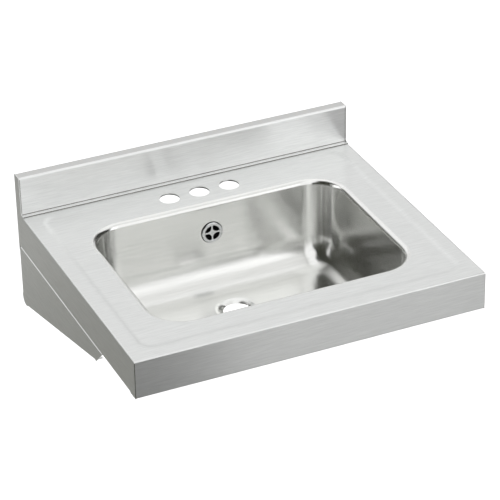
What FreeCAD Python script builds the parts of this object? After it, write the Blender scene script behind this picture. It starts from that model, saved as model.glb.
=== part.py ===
import FreeCAD, Part
import math
import os

# Wall-hung stainless steel lavatory. Millimetres, +Z up. The wall is the plane Y = 0 and the front faces -Y.
# The origin is the middle of the wall hanger's row of screw holes, on the wall.

# Overall sizes
width = 558.8
depth = 482.6
splash_height = 65.0  # above the rim of the deck
splash_depth = 19.4
apron_height = 61.9

# Sheet metal
sheet = 1.2
bend_inside = 1.2
bend_outside = bend_inside + sheet
flange_leg = 1.0  # flat stretch between a bend and the panel it belongs to

# Wall hanger and the hook of the backsplash
hanger_sheet = 1.9
hanger_length = 520.0
hanger_hole_drop = 46.0  # from the top of the backsplash to the screw holes
hanger_leg = 16.0  # below the screw holes
hanger_hole_d = 7.1
hanger_outer_pitch = 406.4
hanger_inner_pitch = 203.2
joggle_height = 5.0
joggle_gap = 3.0  # below the hook
hook_length = 22.0
hook_clearance = 0.4
hanger_seat = 0.3
hanger_edge_round = 0.9  # top edge under the hook

# Backsplash foot
splash_cove = 5.0
splash_foot = 8.2  # ahead of the face

# Deck
deck_rear_gap = 8.0  # from the wall to the deck's rear edge
border_side = 19.4
border_front = 22.6
border_back = 36.0  # from the wall
border_slope = 10.0
deck_recess = 1.3
recess_corner = 16.0  # inside radius at the foot of the slope
apron_return = 15.0
faucet_hole_d = 31.75
faucet_pitch = 50.8
faucet_setback = 66.3
stiffener_sheet = 1.5
stiffener_margin = 28.0  # beyond the outer faucet holes' centres
stiffener_width = 44.0
stiffener_corner = 8.0

# Bowl
bowl_length = 410.6
bowl_width = 298.5
bowl_setback = 109.7  # from the wall to the bowl's back wall
bowl_depth = 138.5  # below the rim of the deck
rim_roll = 8.2
wall_draft = 3.0  # degrees
bowl_cove = 48.0
drain_setback = 205.5
drain_hole_d = 44.45
drain_recess_d = 71.0
drain_recess_depth = 5.3
drain_shoulder = 8.0

# Overflow fitting, along the axis of its hole in the back wall
overflow_drop = 51.4  # below the rim of the deck
overflow_window_r = 12.0
overflow_sleeve_wall = 1.2
overflow_hole_clearance = 0.3
overflow_flange_lip = 3.2  # flange beyond the hole
overflow_flange_height = 2.2
overflow_flange_bevel = 1.2
star_sink = 1.2  # below the flange
star_offset = 8.4  # window circles from both centre lines
star_window_r = 7.3
star_depth = 2.0
seal_thickness = 0.8
gasket_thickness = 2.5
sleeve_engagement = 6.0
elbow_wall = 3.5
elbow_clearance = 0.2
elbow_lead = 0.5  # from the gasket to the neck above the spigot
neck_drop = 20.0
spigot_d = 25.4
spigot_shoulder = 1.0
spigot_bore = 20.6
spigot_drop = 52.0

# Side panels and gussets
side_return = 26.0
gusset_height = 106.1  # at the wall, to the sharp corner
gusset_corner = 12.7
gusset_length = 353.3
gusset_nose_back = 26.4
gusset_nose_drop = 25.7
gusset_flange = 26.0
gusset_edge_return = 12.0
flange_relief = 4.0
wall_flange = 30.0
anchor_hole_d = 7.1
anchor_pitch = 50.8
anchor_inset = 18.0
anchor_drop = 54.0  # middle of the pair, below the apron

# Gusset fasteners
bolt_d = 6.35
bolt_hole_d = 7.1
bolt_length = 13.0
bolt_head = 4.4
bolt_flats = 11.1
nut_height = 5.6
nut_clearance = 0.1
bolt_inset = 15.0
bolt_first = 60.0  # from the wall
bolt_pitch = 200.0
bolt_count = 2

# Sound-deadening pads
pad_thickness = 3.0
pad_floor_margin = 12.0
pad_drain_gap = 14.0
pad_wall_height = 56.0
pad_front_length = 240.0
pad_side_length = 150.0

# Levels and lines worked out from the sizes
splash_top = hanger_hole_drop
rim = splash_top - splash_height
apron_bottom = rim - apron_height
deck_level = rim - deck_recess
floor_level = rim - bowl_depth
half_width = width / 2
front = -depth
inner_half = half_width - sheet
foot_line = -(splash_depth + splash_foot)
draft = math.radians(wall_draft)

# Line on the deck where the rolled rim of the bowl starts
rim_x = bowl_length / 2 + rim_roll
rim_back = -(bowl_setback - rim_roll)
rim_front = -(bowl_setback + bowl_width + rim_roll)
roll_end_u = rim_roll * math.cos(draft)
roll_end_z = deck_level - rim_roll * (1 - math.sin(draft))
cove_start_z = floor_level + bowl_cove * (1 - math.sin(draft))
wall_run = (roll_end_z - cove_start_z) * math.tan(draft)
floor_u = roll_end_u + wall_run + bowl_cove * math.cos(draft)
rim_corner = floor_u  # so the cove's corners are parts of a ball

flat = 1e-6
Vec = FreeCAD.Vector
UP = Vec(0, 0, 1)
RIGHT = Vec(1, 0, 0)
BACK = Vec(0, 1, 0)


def line(a, b):
    return Part.LineSegment(Vec(a[0], a[1], 0), Vec(b[0], b[1], 0)).toShape()


def arc(a, middle, b):
    points = [Vec(p[0], p[1], 0) for p in (a, middle, b)]
    return Part.Arc(*points).toShape()


def face_of(edges):
    return Part.Face(Part.Wire(Part.__sortEdges__(edges)))


def placed(shape, origin, x_dir, y_dir):
    """A flat shape drawn in X and Y, put at the origin with those two directions."""
    z_dir = x_dir.cross(y_dir)
    matrix = FreeCAD.Matrix(
        x_dir.x, y_dir.x, z_dir.x, origin.x,
        x_dir.y, y_dir.y, z_dir.y, origin.y,
        x_dir.z, y_dir.z, z_dir.z, origin.z,
        0, 0, 0, 1,
    )
    moved = shape.copy()
    moved.Placement = FreeCAD.Placement(matrix).multiply(moved.Placement)
    return moved


def block(x0, x1, y0, y1, z0, z1):
    return Part.makeBox(x1 - x0, y1 - y0, z1 - z0, Vec(x0, y0, z0))


def joined(shapes):
    return shapes[0].multiFuse(shapes[1:]).removeSplitter()


def mirrored(shape):
    return shape.mirror(Vec(0, 0, 0), RIGHT)


def corner_arc(before, corner, after, radius):
    """Start, middle and end of the arc that rounds a corner."""
    to_before = (Vec(*before, 0) - Vec(*corner, 0)).normalize()
    to_after = (Vec(*after, 0) - Vec(*corner, 0)).normalize()
    half_angle = to_before.getAngle(to_after) / 2
    reach = radius / math.tan(half_angle)
    bisector = (to_before + to_after).normalize()
    middle = Vec(*corner, 0) + bisector * (radius / math.sin(half_angle) - radius)
    start = Vec(*corner, 0) + to_before * reach
    end = Vec(*corner, 0) + to_after * reach
    return [(p.x, p.y) for p in (start, middle, end)]


def rounded_path(points, radii):
    """Edges along an open line of points, with an arc at each inner point that has a radius."""
    edges = []
    at = points[0]
    for before, corner, after, radius in zip(points, points[1:], points[2:], radii):
        if radius > 0:
            start, middle, end = corner_arc(before, corner, after, radius)
            edges += [line(at, start), arc(start, middle, end)]
            at = end
        else:
            edges.append(line(at, corner))
            at = corner
    edges.append(line(at, points[-1]))
    return edges


def rounded_face(points, radii):
    """Closed outline with one radius per point; the first point stays sharp."""
    return face_of(rounded_path(points + points[:1], radii[1:]))


def rounded_rectangle(x0, x1, y0, y1, radius):
    middle = (x0 + x1) / 2
    points = [(middle, y0), (x1, y0), (x1, y1), (x0, y1), (x0, y0)]
    return rounded_face(points, [0] + [radius] * 4)


def rounded_plate(x0, x1, y0, y1, radius, z0, z1):
    face = rounded_rectangle(x0, x1, y0, y1, radius)
    return placed(face, Vec(0, 0, z0), RIGHT, BACK).extrude(UP * (z1 - z0))


def offset_points(points, distance):
    """A line of points moved to its left by the distance."""
    directions = []
    for a, b in zip(points, points[1:]):
        length = math.hypot(b[0] - a[0], b[1] - a[1])
        directions.append(((b[0] - a[0]) / length, (b[1] - a[1]) / length))
    moved = []
    for i, p in enumerate(points):
        d0 = directions[max(i - 1, 0)]
        d1 = directions[min(i, len(directions) - 1)]
        n0, n1 = (-d0[1], d0[0]), (-d1[1], d1[0])
        scale = distance / (1 + n0[0] * n1[0] + n0[1] * n1[1])
        moved.append((p[0] + (n0[0] + n1[0]) * scale, p[1] + (n0[1] + n1[1]) * scale))
    return moved


def bent_strip(points, thickness, inside_radii):
    """Section of a bent sheet along the middle line given, with the inside radius of each bend."""
    turns = []
    for a, b, c in zip(points, points[1:], points[2:]):
        turns.append((b[0] - a[0]) * (c[1] - b[1]) - (b[1] - a[1]) * (c[0] - b[0]))
    left = offset_points(points, thickness / 2)
    right = offset_points(points, -thickness / 2)
    left_r = [r + (0 if turn > 0 else thickness) for r, turn in zip(inside_radii, turns)]
    right_r = [r + (thickness if turn > 0 else 0) for r, turn in zip(inside_radii, turns)]
    edges = rounded_path(left, left_r) + rounded_path(right, right_r)
    edges += [line(left[0], right[0]), line(left[-1], right[-1])]
    return face_of(edges)


def add_flange(panel, start, end, outward, inward, flange):
    """Bends the stretch of a panel's edge from start to end into a flange that stands inward."""
    leg = bend_outside + flange_leg
    half = sheet / 2
    along = end - start
    strip = face_of(rounded_path([(0, 0), (sheet, 0), (sheet, -leg), (0, -leg), (0, 0)], [0] * 3))
    bend = bent_strip([(half, -leg), (half, -half), (flange, -half)], sheet, [bend_inside])
    cut = panel.cut(placed(strip, start, inward, outward).extrude(along))
    return joined([cut, placed(bend, start, inward, outward).extrude(along)])


def s_sheet(run, drop):
    """Section of a sheet that steps down by the drop, in two tangent arcs over the run."""
    radius = (run**2 + drop**2) / (4 * drop)
    turn = 2 * math.atan2(drop, run)

    def convex(r, angle):
        return (r * math.sin(angle), -radius + r * math.cos(angle))

    def concave(r, angle):
        return (run - r * math.sin(angle), -drop + radius - r * math.cos(angle))

    inner, outer = radius - sheet, radius + sheet
    return face_of([
        arc(convex(radius, 0), convex(radius, turn / 2), convex(radius, turn)),
        arc(concave(radius, turn), concave(radius, turn / 2), concave(radius, 0)),
        line(concave(radius, 0), concave(outer, 0)),
        arc(concave(outer, 0), concave(outer, turn / 2), concave(outer, turn)),
        arc(convex(inner, turn), convex(inner, turn / 2), convex(inner, 0)),
        line(convex(inner, 0), convex(radius, 0)),
    ])


def around(section, x0, x1, y0, y1, radius, z):
    """Sweeps a section, drawn inward and up, round a rectangle with rounded corners."""
    corners = [
        (Vec(x1, y0 + radius, z), Vec(x1, y1 - radius, z)),
        (Vec(x1 - radius, y1, z), Vec(x0 + radius, y1, z)),
        (Vec(x0, y1 - radius, z), Vec(x0, y0 + radius, z)),
        (Vec(x0 + radius, y0, z), Vec(x1 - radius, y0, z)),
    ]
    inward = [Vec(-1, 0, 0), Vec(0, -1, 0), Vec(1, 0, 0), Vec(0, 1, 0)]
    pieces = []
    for (start, end), into in zip(corners, inward):
        pieces.append(placed(section, start, into, UP).extrude(end - start))
        pieces.append(placed(section, end, into, UP).revolve(end + into * radius, UP, 90))
    return pieces


def cylinder(radius, start, direction, length):
    return Part.makeCylinder(radius, length, start, direction)


def pan_block(half, front_y, bottom, top, radius):
    """Block under the deck with its front and side top edges rounded."""
    solid = block(-half, half, front_y, -deck_rear_gap, bottom, top)
    edges = []
    for edge in solid.Edges:
        box = edge.BoundBox
        on_rear = abs(box.YMin + deck_rear_gap) < flat
        if abs(box.ZMin - top) < flat and not on_rear:
            edges.append(edge)
    return solid.makeFillet(radius, edges)


def faucet_holes(shape):
    for i in (-1, 0, 1):
        start = Vec(i * faucet_pitch, -faucet_setback, deck_level - bowl_depth / 2)
        shape = shape.cut(cylinder(faucet_hole_d / 2, start, UP, bowl_depth))
    return shape


def deck_pan():
    """Deck with its raised border, bowl opening and front apron, bent from one sheet."""
    outer = pan_block(half_width, front, apron_bottom, rim, bend_outside)
    inner = pan_block(inner_half, front + sheet, apron_bottom, rim - sheet, bend_inside)
    shell = outer.cut(inner)
    # the side walls and the corners beside the backsplash belong to the side panels
    for x0, x1 in ((-half_width, -half_width + bend_outside), (half_width - bend_outside, half_width)):
        shell = shell.cut(block(x0, x1, front + sheet, 0, apron_bottom, rim - bend_outside))
    for x0, x1 in ((-half_width, -inner_half), (inner_half, half_width)):
        shell = shell.cut(block(x0, x1, foot_line, 0, apron_bottom, rim))
    slope = (-half_width + border_side, half_width - border_side, front + border_front, -border_back)
    corner = recess_corner + border_slope
    shell = shell.cut(rounded_plate(*slope, corner, rim - sheet, rim))
    foot = [slope[0] + border_slope, slope[1] - border_slope]
    foot += [slope[2] + border_slope, slope[3] - border_slope]
    floor = rounded_plate(*foot, recess_corner, deck_level - sheet, deck_level)
    opening = rounded_plate(-rim_x, rim_x, rim_front, rim_back, rim_corner, deck_level - sheet, deck_level)
    ring = around(s_sheet(border_slope, deck_recess), *slope, corner, rim)
    pan = joined([shell, floor.cut(opening)] + ring)
    start = Vec(-inner_half, front, apron_bottom)
    end = Vec(inner_half, front, apron_bottom)
    pan = add_flange(pan, start, end, -UP, BACK, apron_return)
    return faucet_holes(pan)


def faucet_stiffener():
    top = deck_level - sheet
    half = faucet_pitch + stiffener_margin
    y0 = -faucet_setback - stiffener_width / 2
    y1 = y0 + stiffener_width
    return faucet_holes(rounded_plate(-half, half, y0, y1, stiffener_corner, top - stiffener_sheet, top))


def bowl_section():
    """Section of the bowl's wall from the rolled rim to the floor, inward and down from the rim line."""
    wall_angle = math.pi / 2 - draft
    cove_z = floor_level - deck_level + bowl_cove

    def roll(r, angle):
        return (r * math.sin(angle), -rim_roll + r * math.cos(angle))

    def cove(r, angle):
        return (floor_u - r * math.sin(angle), cove_z - r * math.cos(angle))

    inner_roll, outer_cove = rim_roll - sheet, bowl_cove + sheet
    return face_of([
        arc(roll(rim_roll, 0), roll(rim_roll, wall_angle / 2), roll(rim_roll, wall_angle)),
        line(roll(rim_roll, wall_angle), cove(bowl_cove, wall_angle)),
        arc(cove(bowl_cove, wall_angle), cove(bowl_cove, wall_angle / 2), cove(bowl_cove, 0)),
        line(cove(bowl_cove, 0), cove(outer_cove, 0)),
        arc(cove(outer_cove, 0), cove(outer_cove, wall_angle / 2), cove(outer_cove, wall_angle)),
        line(cove(outer_cove, wall_angle), roll(inner_roll, wall_angle)),
        arc(roll(inner_roll, wall_angle), roll(inner_roll, wall_angle / 2), roll(inner_roll, 0)),
        line(roll(inner_roll, 0), roll(rim_roll, 0)),
    ])


def drain_seat(centre):
    """Stepped ring round the drain hole, from the bowl's floor down to the seat."""
    outer = drain_recess_d / 2
    start = centre + RIGHT * outer
    foot = (drain_shoulder, -drain_recess_depth)
    corners = [(0, 0), foot, (foot[0], foot[1] - sheet), (0, -sheet)]
    shoulder = face_of([line(a, b) for a, b in zip(corners, corners[1:] + corners[:1])])
    step = placed(shoulder, start, -RIGHT, UP)
    seat = Part.makeCylinder(outer - drain_shoulder, sheet, centre - UP * (drain_recess_depth + sheet))
    hole = Part.makeCylinder(drain_hole_d / 2, sheet, centre - UP * (drain_recess_depth + sheet))
    return [step.revolve(centre, UP, 360), seat.cut(hole)]


def wall_u(z):
    """Distance of the bowl's inner wall from the rim line, at a height on its straight stretch."""
    return roll_end_u + (roll_end_z - z) * math.tan(draft)


overflow_point = Vec(0, rim_back - wall_u(rim - overflow_drop), rim - overflow_drop)
overflow_axis = Vec(0, -math.cos(draft), math.sin(draft))  # into the bowl
overflow_up = Vec(0, math.sin(draft), math.cos(draft))
sleeve_r = overflow_window_r + overflow_sleeve_wall
overflow_hole_r = sleeve_r + overflow_hole_clearance
overflow_flange_r = overflow_hole_r + overflow_flange_lip
socket_r = sleeve_r + elbow_clearance
elbow_r = socket_r + elbow_wall
neck_r = spigot_d / 2 + spigot_shoulder
elbow_reach = elbow_lead + neck_r  # from the gasket to the spigot's axis


def on_overflow(shape):
    """Puts a shape drawn along +Z from the bowl's inner wall onto the overflow's axis."""
    return placed(shape, overflow_point, RIGHT, overflow_up)


def bowl():
    ring = around(bowl_section(), -rim_x, rim_x, rim_front, rim_back, rim_corner, deck_level)
    half = rim_x - floor_u
    floor = block(-half, half, rim_front + floor_u, rim_back - floor_u, floor_level - sheet, floor_level)
    centre = Vec(0, -drain_setback, floor_level)
    floor = floor.cut(Part.makeCylinder(drain_recess_d / 2, sheet, centre - UP * sheet))
    shell = joined(ring + [floor] + drain_seat(centre))
    hole = Part.makeCylinder(overflow_hole_r, 2 * bowl_cove, Vec(0, 0, -bowl_cove))
    return shell.cut(on_overflow(hole))


def backsplash():
    half = sheet / 2
    rear = -(hook_clearance + half)
    face = -(splash_depth - half)
    points = [
        (rear, splash_top - hook_length),
        (rear, splash_top - half),
        (face, splash_top - half),
        (face, rim + half),
        (foot_line, rim + half),
    ]
    section = bent_strip(points, sheet, [bend_inside, bend_inside, splash_cove])
    return placed(section, Vec(-inner_half, 0, 0), BACK, UP).extrude(RIGHT * 2 * inner_half)


def wall_hanger():
    half = hanger_sheet / 2
    standoff = 2 * hook_clearance + sheet
    joggle_top = splash_top - hook_length - joggle_gap
    points = [
        (-half, -hanger_leg),
        (-half, joggle_top - joggle_height),
        (-half - standoff, joggle_top),
        (-half - standoff, splash_top - sheet - hanger_seat),
    ]
    section = bent_strip(points, hanger_sheet, [bend_inside, bend_inside])
    start = Vec(-hanger_length / 2, 0, 0)
    strip = placed(section, start, BACK, UP).extrude(RIGHT * hanger_length)
    top = points[-1][1]
    top_edges = [e for e in strip.Edges if e.BoundBox.ZMin > top - flat and e.Length > hanger_sheet + flat]
    strip = strip.makeFillet(min(hanger_edge_round, 0.45 * hanger_sheet), top_edges)
    for pitch in (hanger_outer_pitch, hanger_inner_pitch):
        for x in (-pitch / 2, pitch / 2):
            hole = cylinder(hanger_hole_d / 2, Vec(x, -hanger_hole_d, 0), BACK, 2 * hanger_hole_d)
            strip = strip.cut(hole)
    return strip


def bolt_places():
    x = -half_width + bolt_inset
    return [Vec(x, -(bolt_first + i * bolt_pitch), apron_bottom) for i in range(bolt_count)]


def bolt_holes(panel):
    for place in bolt_places():
        panel = panel.cut(cylinder(bolt_hole_d / 2, place - UP * bolt_length, UP, 2 * bolt_length))
    return panel


def left_side_panel():
    """Side apron and the end of the backsplash in one panel, with a return along its lower edge."""
    points = [
        (0, apron_bottom),
        (0, splash_top),
        (-splash_depth, splash_top),
        (-splash_depth, rim + sheet),
        (foot_line, rim + sheet),
        (foot_line, rim - bend_outside),
        (front + sheet, rim - bend_outside),
        (front + sheet, apron_bottom),
    ]
    face = rounded_face(points, [0, 0, bend_outside, splash_cove, 0, 0, 0, 0])
    panel = placed(face, Vec(-half_width, 0, 0), BACK, UP).extrude(RIGHT * sheet)
    start = Vec(-half_width, front + sheet + apron_return + flange_relief, apron_bottom)
    end = Vec(-half_width, -flange_relief, apron_bottom)
    return bolt_holes(add_flange(panel, start, end, -UP, RIGHT, side_return))


def left_gusset():
    """Tapered support panel with a bolting flange on top, a wall flange and a return along its lower edge."""
    low = apron_bottom - gusset_height
    nose = (-(gusset_length - gusset_nose_back), apron_bottom - gusset_nose_drop)
    points = [(0, apron_bottom), (-gusset_length, apron_bottom), nose, (0, low)]
    face = rounded_face(points, [0, 0, 0, gusset_corner])
    x = -half_width
    panel = placed(face, Vec(x, 0, 0), BACK, UP).extrude(RIGHT * sheet)

    slope = (Vec(x, 0, low) - Vec(x, *nose)).normalize()
    slope_out = Vec(0, slope.z, -slope.y)
    corner_reach = gusset_corner / math.tan((math.pi / 2 + math.atan2(slope.z, slope.y)) / 2)
    edge_start = Vec(x, *nose) + slope * flange_relief
    edge_end = Vec(x, 0, low) - slope * (corner_reach + flange_relief)
    panel = add_flange(panel, edge_start, edge_end, slope_out, RIGHT, gusset_edge_return)

    top_start = Vec(x, -(gusset_length - flange_relief), apron_bottom)
    top_end = Vec(x, -flange_relief, apron_bottom)
    panel = add_flange(panel, top_start, top_end, UP, RIGHT, gusset_flange)

    wall_start = Vec(x, 0, low + corner_reach + flange_relief)
    wall_end = Vec(x, 0, apron_bottom - bend_outside - flange_leg - flange_relief)
    panel = add_flange(panel, wall_start, wall_end, BACK, RIGHT, wall_flange)
    for offset in (-anchor_pitch / 2, anchor_pitch / 2):
        place = Vec(x + anchor_inset, -anchor_hole_d, apron_bottom - anchor_drop + offset)
        panel = panel.cut(cylinder(anchor_hole_d / 2, place, BACK, 2 * anchor_hole_d))
    return bolt_holes(panel)


def hexagon(place, height):
    radius = bolt_flats / math.sqrt(3)
    points = [
        place + Vec(radius * math.cos(math.radians(a)), radius * math.sin(math.radians(a)), 0)
        for a in range(0, 420, 60)
    ]
    return Part.Face(Part.makePolygon(points)).extrude(UP * height)


def left_gusset_bolts():
    bolts = []
    for place in bolt_places():
        under = place - UP * sheet
        shank = cylinder(bolt_d / 2, under, UP, bolt_length)
        bolts.append(joined([hexagon(under - UP * bolt_head, bolt_head), shank]))
    return Part.makeCompound(bolts)


def left_gusset_nuts():
    nuts = []
    for place in bolt_places():
        seat = place + UP * sheet
        bore = cylinder(bolt_d / 2 + nut_clearance, seat, UP, nut_height)
        nuts.append(hexagon(seat, nut_height).cut(bore))
    return Part.makeCompound(nuts)


def overflow_grid():
    """Flanged ring with a four-spoke star, on a sleeve that screws into the elbow."""
    back = -(sheet + gasket_thickness + sleeve_engagement)
    flange_top = seal_thickness + overflow_flange_height
    outline = [
        (overflow_window_r, back),
        (sleeve_r, back),
        (sleeve_r, seal_thickness),
        (overflow_flange_r, seal_thickness),
        (overflow_flange_r, flange_top - overflow_flange_bevel),
        (overflow_flange_r - overflow_flange_bevel, flange_top),
        (overflow_window_r, flange_top),
    ]
    section = face_of([line(a, b) for a, b in zip(outline, outline[1:] + outline[:1])])
    ring = placed(section, Vec(0, 0, 0), RIGHT, UP).revolve(Vec(0, 0, 0), UP, 360)
    star_top = flange_top - star_sink
    star = Part.makeCylinder(overflow_window_r, star_depth, Vec(0, 0, star_top - star_depth))
    for sx in (-1, 1):
        for sy in (-1, 1):
            place = Vec(sx * star_offset, sy * star_offset, star_top - 2 * star_depth)
            star = star.cut(Part.makeCylinder(star_window_r, 4 * star_depth, place))
    return on_overflow(joined([ring] + star.Solids))


def overflow_washer(outer_r, z0, z1):
    ring = Part.makeCylinder(outer_r, z1 - z0, Vec(0, 0, z0))
    return on_overflow(ring.cut(Part.makeCylinder(overflow_hole_r, z1 - z0, Vec(0, 0, z0))))


def overflow_elbow():
    """Elbow behind the bowl, from the sleeve's socket down to the spigot for the overflow hose."""
    start = overflow_point - overflow_axis * (sheet + gasket_thickness)
    back = -overflow_axis
    knee = start + back * elbow_reach
    outside = joined([
        cylinder(elbow_r, start, back, elbow_reach + neck_r),
        cylinder(neck_r, knee, -UP, neck_drop),
        cylinder(spigot_d / 2, knee, -UP, spigot_drop),
    ])
    inside = joined([
        cylinder(socket_r, start, back, elbow_reach + spigot_bore / 2),
        cylinder(spigot_bore / 2, knee, -UP, spigot_drop),
    ])
    return outside.cut(inside)


def floor_pad(side):
    """Pad under the bowl's floor, between the drain recess and one end."""
    outer = rim_x - floor_u - pad_floor_margin
    inner = drain_recess_d / 2 + pad_drain_gap
    y0 = rim_front + floor_u + pad_floor_margin
    y1 = rim_back - floor_u - pad_floor_margin
    x0, x1 = sorted((side * inner, side * outer))
    top = floor_level - sheet
    return block(x0, x1, y0, y1, top - pad_thickness, top)


def wall_pad(outward, rim_line, middle, length):
    """Pad on the outside of one of the bowl's walls; outward points away from the bowl."""
    z = (roll_end_z + cove_start_z) / 2
    along = UP.cross(outward)
    normal = outward * math.cos(draft) - UP * math.sin(draft)
    up_wall = normal.cross(along)
    inner_face = middle + outward * (rim_line - wall_u(z)) + UP * z
    half_height = pad_wall_height / 2
    pad = block(-length / 2, length / 2, -half_height, half_height, 0, pad_thickness)
    return placed(pad, inner_face + normal * sheet, along, up_wall)


def save(name, shape):
    shape.exportStep(f"parts/{name}.step")
    solids = shape.Solids
    print(name, len(solids), "solids", round(shape.Volume), "mm3", "valid" if shape.isValid() else "INVALID")


def main():
    os.makedirs("parts", exist_ok=True)
    bowl_middle = Vec(0, (rim_front + rim_back) / 2, 0)
    half_bowl_width = (rim_back - rim_front) / 2
    pieces = {
        "wall_hanger": wall_hanger(),
        "deck_pan": deck_pan(),
        "bowl": bowl(),
        "backsplash": backsplash(),
        "faucet_stiffener": faucet_stiffener(),
        "overflow_grid": overflow_grid(),
        "overflow_front_seal": overflow_washer(overflow_flange_r, 0, seal_thickness),
        "overflow_rear_gasket": overflow_washer(elbow_r, -sheet - gasket_thickness, -sheet),
        "overflow_elbow": overflow_elbow(),
        "left_floor_pad": floor_pad(-1),
        "right_floor_pad": floor_pad(1),
        "front_wall_pad": wall_pad(-BACK, half_bowl_width, bowl_middle, pad_front_length),
        "left_wall_pad": wall_pad(-RIGHT, rim_x, bowl_middle, pad_side_length),
        "right_wall_pad": wall_pad(RIGHT, rim_x, bowl_middle, pad_side_length),
    }
    left_pieces = {
        "side_panel": left_side_panel(),
        "gusset": left_gusset(),
        "gusset_bolts": left_gusset_bolts(),
        "gusset_nuts": left_gusset_nuts(),
    }
    for name, shape in left_pieces.items():
        pieces["left_" + name] = shape
        pieces["right_" + name] = mirrored(shape)
    for name, shape in pieces.items():
        save(name, shape)


main()
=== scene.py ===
import math

import bmesh
import bpy
from mathutils import Matrix, Vector


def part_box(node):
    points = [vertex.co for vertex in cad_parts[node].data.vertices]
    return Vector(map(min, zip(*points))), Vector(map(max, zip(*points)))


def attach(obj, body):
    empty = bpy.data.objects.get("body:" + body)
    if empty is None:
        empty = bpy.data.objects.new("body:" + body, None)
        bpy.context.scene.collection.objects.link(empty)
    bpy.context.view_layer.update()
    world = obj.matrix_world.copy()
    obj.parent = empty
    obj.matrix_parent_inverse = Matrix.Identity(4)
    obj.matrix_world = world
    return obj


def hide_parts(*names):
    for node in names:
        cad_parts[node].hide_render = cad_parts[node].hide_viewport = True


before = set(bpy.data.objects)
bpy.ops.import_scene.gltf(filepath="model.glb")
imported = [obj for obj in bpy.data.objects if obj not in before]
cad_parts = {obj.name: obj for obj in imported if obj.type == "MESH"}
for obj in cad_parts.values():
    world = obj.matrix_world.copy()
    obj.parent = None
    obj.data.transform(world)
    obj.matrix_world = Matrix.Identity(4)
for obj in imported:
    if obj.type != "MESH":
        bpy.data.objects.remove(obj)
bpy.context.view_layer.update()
mm = 0.001
weld = 1e-6  # points nearer than this are one point
sliver = 1e-7  # edges shorter than this are removed

# levels and lines of the sink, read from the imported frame
deckLow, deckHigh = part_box("deck_pan")
bowlLow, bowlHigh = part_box("bowl")
splashLow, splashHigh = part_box("backsplash")
halfWidth = deckHigh.x
frontY = deckLow.y
rimZ = deckHigh.z
apronZ = deckLow.z
deckZ = bowlHigh.z
footY = splashLow.y
sheet = 1.2 * mm
bendOut = 2.4 * mm  # outside radius of every bend
print("frame loaded:", len(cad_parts), "nodes")


# materials

def startMaterial(name):
    mat = bpy.data.materials.new(name)
    mat.use_nodes = True
    nodes, links = mat.node_tree.nodes, mat.node_tree.links
    shader = nodes["Principled BSDF"]
    return mat, nodes, links, shader


def noiseOn(nodes, links, scale, detail=3.0, roughness=0.55):
    # noise on Object coordinates, stretched by a different scale on each axis (cycles per metre)
    coords = nodes.new("ShaderNodeTexCoord")
    mapping = nodes.new("ShaderNodeMapping")
    mapping.inputs["Scale"].default_value = scale
    noise = nodes.new("ShaderNodeTexNoise")
    noise.inputs["Scale"].default_value = 1.0
    noise.inputs["Detail"].default_value = detail
    noise.inputs["Roughness"].default_value = roughness
    links.new(coords.outputs["Object"], mapping.inputs["Vector"])
    links.new(mapping.outputs["Vector"], noise.inputs["Vector"])
    return noise.outputs["Fac"]


def ranged(nodes, links, value, low, high):
    # takes the busy middle of a noise to the two limits
    spread = nodes.new("ShaderNodeMapRange")
    spread.inputs["From Min"].default_value = 0.3
    spread.inputs["From Max"].default_value = 0.7
    spread.inputs["To Min"].default_value = low
    spread.inputs["To Max"].default_value = high
    links.new(value, spread.inputs["Value"])
    return spread.outputs["Result"]


def mixed(nodes, links, factor, a, b):
    mix = nodes.new("ShaderNodeMix")
    mix.data_type = "RGBA"
    mix.inputs["A"].default_value = (*a, 1)
    mix.inputs["B"].default_value = (*b, 1)
    links.new(factor, mix.inputs["Factor"])
    return mix.outputs["Result"]


def summed(nodes, links, a, b):
    add = nodes.new("ShaderNodeMath")
    add.operation = "ADD"
    links.new(a, add.inputs[0])
    links.new(b, add.inputs[1])
    return add.outputs["Value"]


def bumped(nodes, links, shader, height, distance, strength):
    bump = nodes.new("ShaderNodeBump")
    bump.inputs["Distance"].default_value = distance
    bump.inputs["Strength"].default_value = strength
    links.new(height, bump.inputs["Height"])
    links.new(bump.outputs["Normal"], shader.inputs["Normal"])


def brushedMetal(name, look):
    mat, nodes, links, shader = startMaterial(name)
    fine = noiseOn(nodes, links, look["grain"], detail=2.0)
    coarse = noiseOn(nodes, links, look["bands"])
    cloud = noiseOn(nodes, links, look["cloud"], detail=2.0)
    # the fine and the coarse lines each give half of the pattern
    lines = summed(
        nodes, links, ranged(nodes, links, fine, 0, 0.5), ranged(nodes, links, coarse, 0, 0.5),
    )
    links.new(mixed(nodes, links, lines, look["dark"], look["light"]), shader.inputs["Base Color"])
    low, high = look["rough"]
    half = (high - low) / 2
    streak = ranged(nodes, links, coarse, low / 2, low / 2 + half)
    spots = ranged(nodes, links, cloud, low / 2, low / 2 + half)
    links.new(summed(nodes, links, streak, spots), shader.inputs["Roughness"])
    shader.inputs["Metallic"].default_value = 1.0
    if "along" in look:
        brushedWay(nodes, links, shader, look)
    bumped(nodes, links, shader, lines, look["bump"], look["bumpStrength"])
    return mat


def brushedWay(nodes, links, shader, look):
    # reflections smear across the brush lines, which run along one axis
    shader.inputs["Anisotropic"].default_value = look["smear"]
    shader.inputs["Anisotropic Rotation"].default_value = 0.25  # a quarter turn
    way = nodes.new("ShaderNodeCombineXYZ")
    for socket, value in zip(way.inputs, look["along"]):
        socket.default_value = value
    links.new(way.outputs["Vector"], shader.inputs["Tangent"])


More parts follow.
